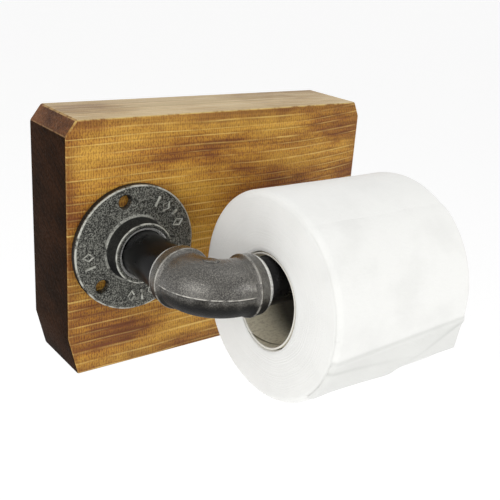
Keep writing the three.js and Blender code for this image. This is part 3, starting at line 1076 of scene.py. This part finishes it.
    def screw(self) -> bpy.types.Object:
        """A countersunk wood screw with a cross recess and a rolled thread.

        The recess is turned away from the edges that fan out over the head, and its two slots differ
        in depth. No cut then runs along an edge or another cut, so the mesh stays closed.
        """
        low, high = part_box("flange_screw")
        head, shank, length = (high.x - low.x) / 2, 0.00195, high.y - low.y
        pitch, ridges = 0.0018, 11
        outline: list[Point] = [(0.0, -length), (0.0003, -length), (0.0012, -length + 0.0042)]
        for i in range(ridges):
            foot = -length + 0.0045 + i * pitch
            outline += [(0.0014, foot), (shank, foot + pitch * 0.45), (0.0014, foot + pitch * 0.9)]
        outline += [
            (shank, -0.0075),
            (shank, -0.0023),
            *arc(head - 0.0003, -0.0003, 0.0003, -45, 90, 3),
            (0.0, 0.0),
        ]
        piece = turned("wood_screw", outline, 40)
        for quarter, depth in enumerate(self.recess_depths):
            clear_bench()
            size = (self.recess_length, self.recess_width, depth)
            turned_by = (0, 0, math.radians(self.recess_turn + 90.0 * quarter))
            bpy.ops.mesh.primitive_cube_add(size=1, scale=size, rotation=turned_by)
            slot_tool = name_piece("slot_tool")
            bpy.ops.object.transform_apply(location=True, rotation=True, scale=True)
            carve(piece, slot_tool)
        set_down(piece, ((low.x + high.x) / 2, low.y, (low.z + high.z) / 2), Axis.OUT)
        smooth(piece)
        self.shop.dress(piece, STEEL)
        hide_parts("flange_screw")
        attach(piece, "holder")
        return piece


@dataclass
class PipeArm:
    """The two lengths of pipe, the elbow between them and the cap on the end."""

    shop: PaintShop
    bend: float = 0.020
    body: float = 0.0154
    band: float = 0.0167
    band_width: float = 0.0095
    bead: float = 0.0005
    waterway: float = 0.0105
    socket: float = 0.01375
    socket_depth: float = 0.012
    ridge: float = 0.0002

    def build(self) -> list[bpy.types.Object]:
        """Cuts the pipe and casts the fittings.

        Returns:
            The nipple, the arm, the elbow and the cap.
        """
        nipple = self.pipe("flange_nipple", "pipe_nipple", Axis.OUT, NIPPLE_BLACK)
        arm = self.pipe("arm_pipe", "pipe_arm", Axis.ALONG, ARM_BLACK)
        return [nipple, arm, self.elbow(), self.cap()]

    def pipe(self, node: str, name: str, axis: Axis, finish: Finish) -> bpy.types.Object:
        """A length of pipe with filed ends and the runout of its threads inside the fittings."""
        low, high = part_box(node)
        outer = (high.z - low.z) / 2
        length = high.x - low.x if axis is Axis.ALONG else high.y - low.y
        inner, filed, cut = outer - 0.00265, 0.0008, 0.00035
        threads = [
            point
            for i in range(4)
            for point in ((outer, filed + 0.0016 * i + 0.0003), (outer - cut, filed + 0.0016 * i + 0.0011))
        ]
        far = [(r, length - h) for r, h in reversed(threads)]
        outline = [
            (inner, 0.0),
            (outer - filed, 0.0),
            *threads,
            (outer, filed + 0.0068),
            (outer, length / 2),
            (outer, length - filed - 0.0068),
            *far,
            (outer - filed, length),
            (inner, length),
            (inner, 0.0),
        ]
        piece = turned(name, outline, 128)
        middle = (low + high) / 2
        start = (low.x, middle.y, middle.z) if axis is Axis.ALONG else (middle.x, high.y, middle.z)
        set_down(piece, start, axis)
        smooth(piece, 30)
        self.shop.dress(piece, finish)
        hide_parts(node)
        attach(piece, "holder")
        return piece

    def mouth_outline(self, face: float) -> list[Point]:
        """The elbow's skin at one mouth, from the bottom of the socket out, over the lip and back."""
        root = face - self.band_width
        swell = self.band + self.bead
        return [
            (self.waterway, face - self.socket_depth),
            (self.socket, face - self.socket_depth),
            (self.socket, face - 0.0008),
            (self.socket + 0.0008, face),
            (self.band - 0.0013, face),
            (self.band - 0.0001, face - 0.0022),
            (self.band, face - 0.0026),
            (self.band, face - 0.0030),
            (self.band, root + 0.0034),
            (self.band + 0.0001, root + 0.0026),
            *arc(swell - 0.0009, root + 0.0014, 0.0009, 50, -40, 5),
            (self.body + 0.0006, root + 0.0001),
            (self.body, root - 0.0011),
            (self.body, self.bend),
        ]

    def elbow(self) -> bpy.types.Object:
        """The elbow: a ring drawn out of one mouth, spun round the bend and drawn into the other."""
        low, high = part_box("elbow")
        face_a = high.y
        centre = Vector((low.x + self.band + self.bead, low.y + self.band + self.bead, 0))
        reach = face_a - centre.y
        outline = self.mouth_outline(reach)
        clear_bench()
        radius, height = outline[0]
        bpy.ops.mesh.primitive_circle_add(
            vertices=128, radius=radius, location=(0, 0, 0), rotation=(math.pi / 2, 0, 0), enter_editmode=True
        )
        piece = name_piece("cast_elbow")
        bpy.ops.object.mode_set(mode="OBJECT")
        bpy.ops.object.transform_apply(location=True, rotation=True, scale=True)
        bpy.ops.object.mode_set(mode="EDIT")
        bpy.ops.mesh.select_all(action="SELECT")
        bpy.ops.transform.translate(value=(0, height, 0))
        self.draw_rings(outline, Vector((0, 1, 0)))
        corner = Vector((self.bend, self.bend, 0))
        bpy.ops.mesh.spin(steps=28, angle=-math.pi / 2, center=corner, axis=(0, 0, 1))
        self.draw_rings(outline[::-1], Vector((1, 0, 0)))
        inside = (reach - self.socket_depth,) * 2
        bpy.ops.mesh.spin(steps=28, angle=math.pi / 2, center=(*inside, 0), axis=(0, 0, 1))
        bpy.ops.mesh.select_all(action="SELECT")
        bpy.ops.mesh.remove_doubles(threshold=2e-5)
        bpy.ops.mesh.normals_make_consistent(inside=False)
        bpy.ops.object.mode_set(mode="OBJECT")
        self.raise_ridge(piece, reach)
        carve(piece, self.oval_boss(), "UNION")
        set_down(piece, centre)
        self.finish_elbow(piece, centre, reach)
        return piece

    @staticmethod
    def draw_rings(outline: Sequence[Point], way: Vector) -> None:
        """Draws the selected ring along an outline whose heights run along a direction."""
        for (r0, h0), (r1, h1) in zip(outline, outline[1:]):
            step = way * (h1 - h0)
            bpy.ops.mesh.extrude_edges_move(TRANSFORM_OT_translate={"value": step})
            grow = r1 / r0
            across = [1.0 if abs(w) > 0.5 else grow for w in way]
            bpy.ops.transform.resize(value=across, center_override=way * h1)

    def raise_ridge(self, piece: bpy.types.Object, reach: float) -> None:
        """Raises the line where the mould's halves met, all round the skin's middle plane."""
        corner = Vector((self.bend, self.bend, 0))
        end = reach - self.band_width - 0.0014
        for vertex in piece.data.vertices:
            co = vertex.co
            if abs(co.z) > 1e-5 or max(co.x, co.y) > end:
                continue
            if co.x < self.bend and co.y < self.bend:
                out = Vector((co.x, co.y, 0)) - corner
                inward = out.length < self.bend
                if abs(out.length - self.bend) < self.body - 0.0008:
                    continue
                vertex.co += out.normalized() * (-self.ridge if inward else self.ridge)
            else:
                across = Vector((1, 0, 0)) if co.y >= self.bend else Vector((0, 1, 0))
                away = co.dot(across)
                if abs(away) > self.body - 0.0008:
                    vertex.co += across * math.copysign(self.ridge, away)

    def oval_boss(self) -> bpy.types.Object:
        """A low oval boss on top of the bend."""
        clear_bench()
        bpy.ops.mesh.primitive_cylinder_add(vertices=40, radius=1, depth=1)
        boss = name_piece("boss")
        boss.scale = (0.0046, 0.0028, 0.003)
        boss.rotation_euler = (0, 0, -math.pi / 4)
        middle = self.bend * (1 - math.sqrt(0.5))
        boss.location = (middle, middle, self.body - 0.0011)
        bpy.ops.object.transform_apply(location=True, rotation=True, scale=True)
        soften(boss, 0.0003, 2)
        return boss

    def finish_elbow(self, piece: bpy.types.Object, centre: Vector, reach: float) -> None:
        """Marks the elbow's rubbed lines, and dresses its skin and its cut mouths."""
        root = reach - self.band_width

        def wear_and_highlight(co: Vector) -> float:
            """The beads and the ridge are rubbed bright."""
            local = co - centre
            along = max(local.x, local.y)
            off = math.hypot(min(local.x, local.y), local.z)
            on_bead = off > self.band + 0.0002 and abs(along - root - 0.0014) < 0.0012
            on_ridge = abs(local.z) < 1e-5 and along < root - 0.0002
            return 0.6 if on_bead else 0.95 if on_ridge else 0.0

        def mouth(co: Vector, _: Vector) -> bool:
            """The cut chamfers and sockets at the two mouths, which wear the painted highlight."""
            local = co - centre
            along, off = max(local.x, local.y), math.hypot(min(local.x, local.y), local.z)
            return along > reach - 0.0025 or (along > reach - self.socket_depth and off < self.socket + 0.001)

        mark_wear_and_highlight(piece, wear_and_highlight)
        smooth(piece, 40)
        self.shop.dress(piece, ELBOW_IRON, [(MOUTH_IRON_HIGHLIGHT, mouth)])
        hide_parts("elbow")
        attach(piece, "holder")

    def cap(self) -> bpy.types.Object:
        """The cap on the arm's end, with a band at its mouth and a soft crown."""
        low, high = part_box("end_cap")
        length, radius = high.x - low.x, (high.z - low.z) / 2
        crown, wall = 0.0035, 0.004
        outline = [
            (0.0, length - wall),
            (self.socket, length - wall),
            (self.socket, 0.0014),
            (self.socket + 0.0010, 0.0),
            *arc(radius - 0.0006, 0.0006, 0.0006, -90, 0, 4),
            *arc(radius - 0.0008, 0.0076, 0.0008, 0, 70, 4),
            (radius - 0.0005, 0.0092),
            *arc(radius - 0.0005 - crown, length - crown, crown, 0, 84, 9),
            (0.006, length - 0.0001),
            (0.0, length),
        ]
        piece = turned("cast_cap", outline, 112)
        set_down(piece, (low.x, centre_of("end_cap").y, centre_of("end_cap").z), Axis.ALONG)
        band_end = low.x + 0.0078
        mark_wear_and_highlight(piece, lambda co: 0.8 if abs(co.x - band_end) < 0.0006 or co.x < low.x + 0.0006 else 0.0)
        smooth(piece, 40)
        # The cap's cut mouth wears the painted highlight.
        self.shop.dress(piece, ELBOW_IRON, [(CUT_IRON_HIGHLIGHT, lambda co, _: co.x < low.x + 0.001)])
        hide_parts("end_cap")
        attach(piece, "holder")
        return piece


@dataclass
class TissueRoll:
    """The roll: its board core, the wound paper and the loose end that hangs in front."""

    shop: PaintShop
    sides: int = 192
    bore: float = 0.0253
    bore_rim: float = 0.0008
    edge: float = 0.0040
    oval: float = 0.18
    sag_reach: float = 0.046
    sag_fade: float = 0.018
    ply: float = 0.00035
    lift: float = 0.0003
    margin: float = 0.0005
    start_angle: float = 62.0
    emerge_run: float = 0.012
    emerge_depth: float = 0.0016
    hung_length: float = 0.037
    crease_left: float = 0.0146
    crease_climb: float = 0.0046
    pleat_slant: float = 0.045
    columns: int = 120
    rows: int = 110

    def build(self) -> list[bpy.types.Object]:
        """Winds the roll.

        Returns:
            The core, the roll and the loose end.
        """
        low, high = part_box("paper_roll")
        self.left, self.right = low.x, high.x
        self.axis = Vector((0, (low.y + high.y) / 2, (low.z + high.z) / 2))
        self.radius = (high.z - low.z) / 2
        return [self.core(), self.roll(), self.tail()]

    def core(self) -> bpy.types.Object:
        """The board tube, with slightly bruised rims."""
        low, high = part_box("cardboard_core")
        outer = (high.z - low.z) / 2
        inner, length, bruise = outer - 0.001, high.x - low.x - 0.0014, 0.0003
        outline = [
            (inner, bruise),
            (inner + bruise, 0.0),
            (outer - bruise, 0.0),
            (outer, bruise),
            (outer, length / 2),
            (outer, length - bruise),
            (outer - bruise, length),
            (inner + bruise, length),
            (inner, length - bruise),
            (inner, bruise),
        ]
        piece = turned("board_core", outline, 128)
        set_down(piece, (low.x + 0.0007, self.axis.y, self.axis.z), Axis.ALONG)
        self.slump(piece)
        smooth(piece)
        self.shop.dress(piece, CORE_BOARD)
        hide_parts("cardboard_core")
        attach(piece, "roll")
        return piece

    def roll(self) -> bpy.types.Object:
        """The wound paper: soft rims, and ends that are not quite true."""
        inner, rim, edge = self.bore, self.bore_rim, self.edge
        width, faces = self.right - self.left, 16
        rise = [
            (inner + rim + (self.radius - edge - inner - rim) * i / faces, 0.0)
            for i in range(faces)
        ]
        flank = [(self.radius, edge + (width - 2 * edge) * i / 24) for i in range(1, 24)]
        bore = [(inner, width - 0.0006 - (width - 0.0012) * i / 12) for i in range(13)]
        outline = [
            *rise,
            *arc(self.radius - edge, edge, edge, -90, 0, 6),
            *flank,
            *arc(self.radius - edge, width - edge, edge, 0, 90, 6),
            *[(r, width) for r, _ in reversed(rise)],
            *bore,
            rise[0],
        ]
        piece = turned("tissue_roll", outline, self.sides)
        self.soften_form(piece)
        set_down(piece, (self.left, self.axis.y, self.axis.z), Axis.ALONG)
        self.slump(piece)
        smooth(piece, 60)
        self.shop.dress(piece, ROLL_TISSUE)
        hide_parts("paper_roll")
        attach(piece, "roll")
        return piece

    def slump(self, piece: bpy.types.Object) -> None:
        """Lets the core sag out of round below the roll's axis, and the paper next to it."""
        for vertex in piece.data.vertices:
            local = vertex.co - self.axis
            radius = math.hypot(local.y, local.z)
            share = min(1.0, max(0.0, (self.sag_reach - radius) / self.sag_fade))
            vertex.co.z += min(local.z, 0.0) * self.oval * share

    @staticmethod
    def soften_form(piece: bpy.types.Object) -> None:
        """Gives the wound paper the slight dents and slack of a soft roll."""
        take_up(piece)
        clouds = bpy.data.textures.new("slack", "CLOUDS")
        clouds.noise_scale = 0.045
        slack = piece.modifiers.new("slack", "DISPLACE")
        slack.texture, slack.strength, slack.mid_level = clouds, 0.0009, 0.95
        slack.texture_coords = "LOCAL"
        bpy.ops.object.modifier_apply(modifier=slack.name)

    def tail(self) -> bpy.types.Object:
        """The loose end: it rises out of the last winding, passes over the front and hangs, with a crease and
        painted shade along its folds.
        """
        clear_bench()
        bpy.ops.mesh.primitive_grid_add(x_subdivisions=self.columns, y_subdivisions=self.rows, size=1)
        piece = name_piece("loose_end")
        # Painted shade along the folds, for the finish to read.
        painted_crease_shade = piece.data.attributes.new("painted_crease_shade", "FLOAT", "POINT")
        for vertex in piece.data.vertices:
            across, down = 0.5 - 0.5 * math.cos(math.pi * (vertex.co.x + 0.5)), 0.5 - vertex.co.y
            vertex.co = self.hang(across, down)
            painted_crease_shade.data[vertex.index].value = self.crease_shade(across, down)
        take_up(piece)
        ply = piece.modifiers.new("ply", "SOLIDIFY")
        ply.thickness, ply.offset = self.ply, 0.0
        bpy.ops.object.modifier_apply(modifier=ply.name)
        bpy.ops.object.mode_set(mode="EDIT")
        bpy.ops.mesh.select_all(action="SELECT")
        bpy.ops.mesh.normals_make_consistent(inside=False)
        bpy.ops.object.mode_set(mode="OBJECT")
        smooth(piece, 70)
        self.shop.dress(piece, TAIL_TISSUE)
        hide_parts("paper_tail")
        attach(piece, "tail")
        return piece

    def hang(self, across: float, down: float) -> Vector:
        """Where a point of the loose end hangs.

        Args:
            across: From 0 at the left edge to 1 at the right.
            down: From 0 where the sheet leaves the windings to 1 at its free edge.

        Returns:
            The point, in the holder's frame.
        """
        x = self.left + self.margin + across * (self.right - self.left - 2 * self.margin)
        start = math.radians(self.start_angle)
        radius = self.radius + self.lift
        over = start * radius
        length = over + self.drop(across)
        run = down * length
        emerge = min(1.0, run / self.emerge_run)
        inset = max(0.0, self.edge - (x - self.left), self.edge - (self.right - x))
        shoulder = self.edge - math.sqrt(self.edge**2 - inset**2)
        radius -= shoulder
        skin = radius - self.emerge_depth * (1 - emerge) ** 2
        if run < over:
            angle = start - run / radius
            y, z = -skin * math.cos(angle), skin * math.sin(angle)
        else:
            y, z = self.fall(across, run - over, radius)
        return Vector((x, self.axis.y + y, self.axis.z + z))

    def crease_shade(self, across: float, down: float) -> float:
        """How much painted shade a point of the loose end takes from the folds next to it and from hanging
        below the crease.
        """
        over = math.radians(self.start_angle) * (self.radius + self.lift)
        below = down * (over + self.drop(across)) - over - self.crease(across)
        under = 0.42 / (1 + math.exp(-below / 0.0007))
        line = 0.50 * math.exp(-(((below + 0.0012) / 0.0011) ** 2))
        if below < 0:
            return under + line
        off_pleat = across - 0.97 + below / self.pleat_slant
        pleat = 0.55 * math.exp(-((off_pleat / 0.05) ** 2)) * self.pleat_depth(below)
        second = (
            0.45
            * math.exp(-(((below - 0.006 - 0.012 * across) / 0.0012) ** 2))
            * max(0.0, 1 - 1.6 * across)
        )
        return min(1.0, under + line + pleat + second)

    def crease(self, across: float) -> float:
        """How far below the roll's front the crease runs, across the sheet."""
        return self.crease_left - self.crease_climb * across

    @staticmethod
    def drop(across: float) -> float:
        """How far the free edge hangs below the roll's front, across the sheet."""
        wrapped = 0.0120 * math.exp(-((across / 0.24) ** 2))
        torn = 0.0017 * (1 - math.tanh((across - 0.49) * 30))
        return 0.0297 + wrapped + torn

    def fall(self, across: float, run: float, radius: float) -> Point:
        """The hanging part, as its distances from the roll's axis toward the room and up.

        It hugs the roll as far as the crease, which runs higher toward the right, and below that it
        stands off by a fold that grows to the right.
        """
        crease = self.crease(across)
        angle = min(run, crease) / radius
        y, z = -radius * math.cos(angle), -radius * math.sin(angle)
        below = max(0.0, run - crease)
        hug = (1 - across) ** 0.8
        fold = angle * hug + 0.22 * (across - 0.30)
        y += below * math.sin(fold) * 0.9
        z -= below * math.cos(fold)
        loose = min(1.0, max(0.0, (across - 0.10) / 0.42))
        loose = loose * loose * (3 - 2 * loose)
        wrapped = run / radius
        y = loose * y - (1 - loose) * radius * math.cos(wrapped)
        z = loose * z - (1 - loose) * radius * math.sin(wrapped)
        pucker = (
            0.0019
            * math.exp(-(((across - 0.62) / 0.1) ** 2))
            * math.sin(min(1.0, below / 0.014) * math.pi)
        )
        diagonal = abs(across - 0.95 + below / self.pleat_slant) * 0.02
        pleat = 0.0017 * math.exp(-((diagonal / 0.0018) ** 2))
        ridge = 0.0007 * math.exp(-(((run - crease) / 0.0013) ** 2))
        return y - pucker - pleat * self.pleat_depth(below) - ridge, z

    @staticmethod
    def pleat_depth(below: float) -> float:
        """How strong the slanting pleat is at a distance below the crease: it fades both ways."""
        return min(1.0, below / 0.002) * max(0.0, 1 - below / 0.020)


# ---- Studio --------------------------------------------------------------------------------------


@dataclass
class Studio:
    """A pale floor, soft lights and the camera."""

    floor_level: float = -0.55
    camera_place: tuple[float, float, float] = (-0.27331, -0.42928, 0.16427)
    yaw: float = 0.693
    pitch: float = 0.359
    roll: float = -0.084
    lens: float = 57.13
    shift: Point = (-0.05537, 0.00225)

    def build(self) -> None:
        """Sets up the studio."""
        self.floor()
        self.light("key", (0.32, -1.20, 0.30), 0.08, 2.3)
        self.light("side", (-1.35, -0.55, 0.35), 0.90, 6.4)
        self.light("top", (0.15, -0.45, 1.25), 0.80, 1.7)
        self.ambient()
        self.camera()
        bpy.context.scene.view_settings.view_transform = "Standard"

    def floor(self) -> None:
        """A plain pale floor, well below the holder."""
        clear_bench()
        bpy.ops.mesh.primitive_plane_add(size=60, location=(0, 0, self.floor_level))
        floor = name_piece("studio_floor")
        pale = bpy.data.materials.new("studio_floor")
        pale.use_nodes = True
        shader = pale.node_tree.nodes["Principled BSDF"]
        shader.inputs["Base Color"].default_value = (0.95, 0.95, 0.95, 1)
        shader.inputs["Roughness"].default_value = 0.95
        shader.inputs["Emission Color"].default_value = (1, 1, 1, 1)
        shader.inputs["Emission Strength"].default_value = 0.15
        floor.data.materials.append(pale)

    @staticmethod
    def light(name: str, place: tuple[float, float, float], size: float, power: float) -> None:
        """A square soft light aimed at the holder."""
        lamp = bpy.data.lights.new(name, "AREA")
        lamp.size, lamp.energy = size, power
        stand = bpy.data.objects.new(name, lamp)
        stand.location = place
        stand.rotation_euler = (Vector((0, -0.08, 0)) - Vector(place)).to_track_quat("-Z", "Y").to_euler()
        bpy.context.scene.collection.objects.link(stand)

    @staticmethod
    def ambient() -> None:
        """Even white light from all round."""
        world = bpy.data.worlds.new("studio")
        world.use_nodes = True
        sky = world.node_tree.nodes["Background"]
        sky.inputs["Color"].default_value = (1, 1, 1, 1)
        sky.inputs["Strength"].default_value = 0.84
        t = Tree(world.node_tree)
        seen = t.add("Background", {"Color": (1, 1, 1, 1), "Strength": 1.0})
        direct = t.add("LightPath").outputs["Is Camera Ray"]
        both = t.add("MixShader", {0: direct, 1: sky.outputs[0], 2: seen.outputs[0]})
        t.feed(world.node_tree.nodes["World Output"].inputs["Surface"], both.outputs[0])
        bpy.context.scene.world = world

    def camera(self) -> None:
        """The camera, above and to the left of the holder."""
        sin_y, cos_y = math.sin(self.yaw), math.cos(self.yaw)
        sin_p, cos_p = math.sin(self.pitch), math.cos(self.pitch)
        ahead = Vector((sin_y * cos_p, cos_y * cos_p, -sin_p))
        level = Vector((cos_y, -sin_y, 0))
        under = ahead.cross(level)
        right = level * math.cos(self.roll) + under * math.sin(self.roll)
        down = under * math.cos(self.roll) - level * math.sin(self.roll)
        lens = bpy.data.cameras.new("camera")
        lens.lens, lens.sensor_width = self.lens, 36.0
        lens.shift_x, lens.shift_y = self.shift
        lens.clip_start, lens.clip_end = 0.01, 50.0
        camera = bpy.data.objects.new("camera", lens)
        turn = Matrix((right, -down, -ahead)).transposed().to_4x4()
        camera.matrix_world = Matrix.Translation(self.camera_place) @ turn
        bpy.context.scene.collection.objects.link(camera)
        bpy.context.scene.camera = camera


def main() -> None:
    """Builds every sub-assembly in order and reports each piece."""
    logging.basicConfig(level=logging.INFO, format="%(name)s: %(message)s")
    shop = PaintShop()
    for assembly in (PineBlock(shop), FloorFlange(shop), PipeArm(shop), TissueRoll(shop)):
        for piece in assembly.build():
            LOG.info("%s: %d faces", piece.name, len(piece.data.polygons))
    Studio().build()


if __name__ == "__main__":
    main()
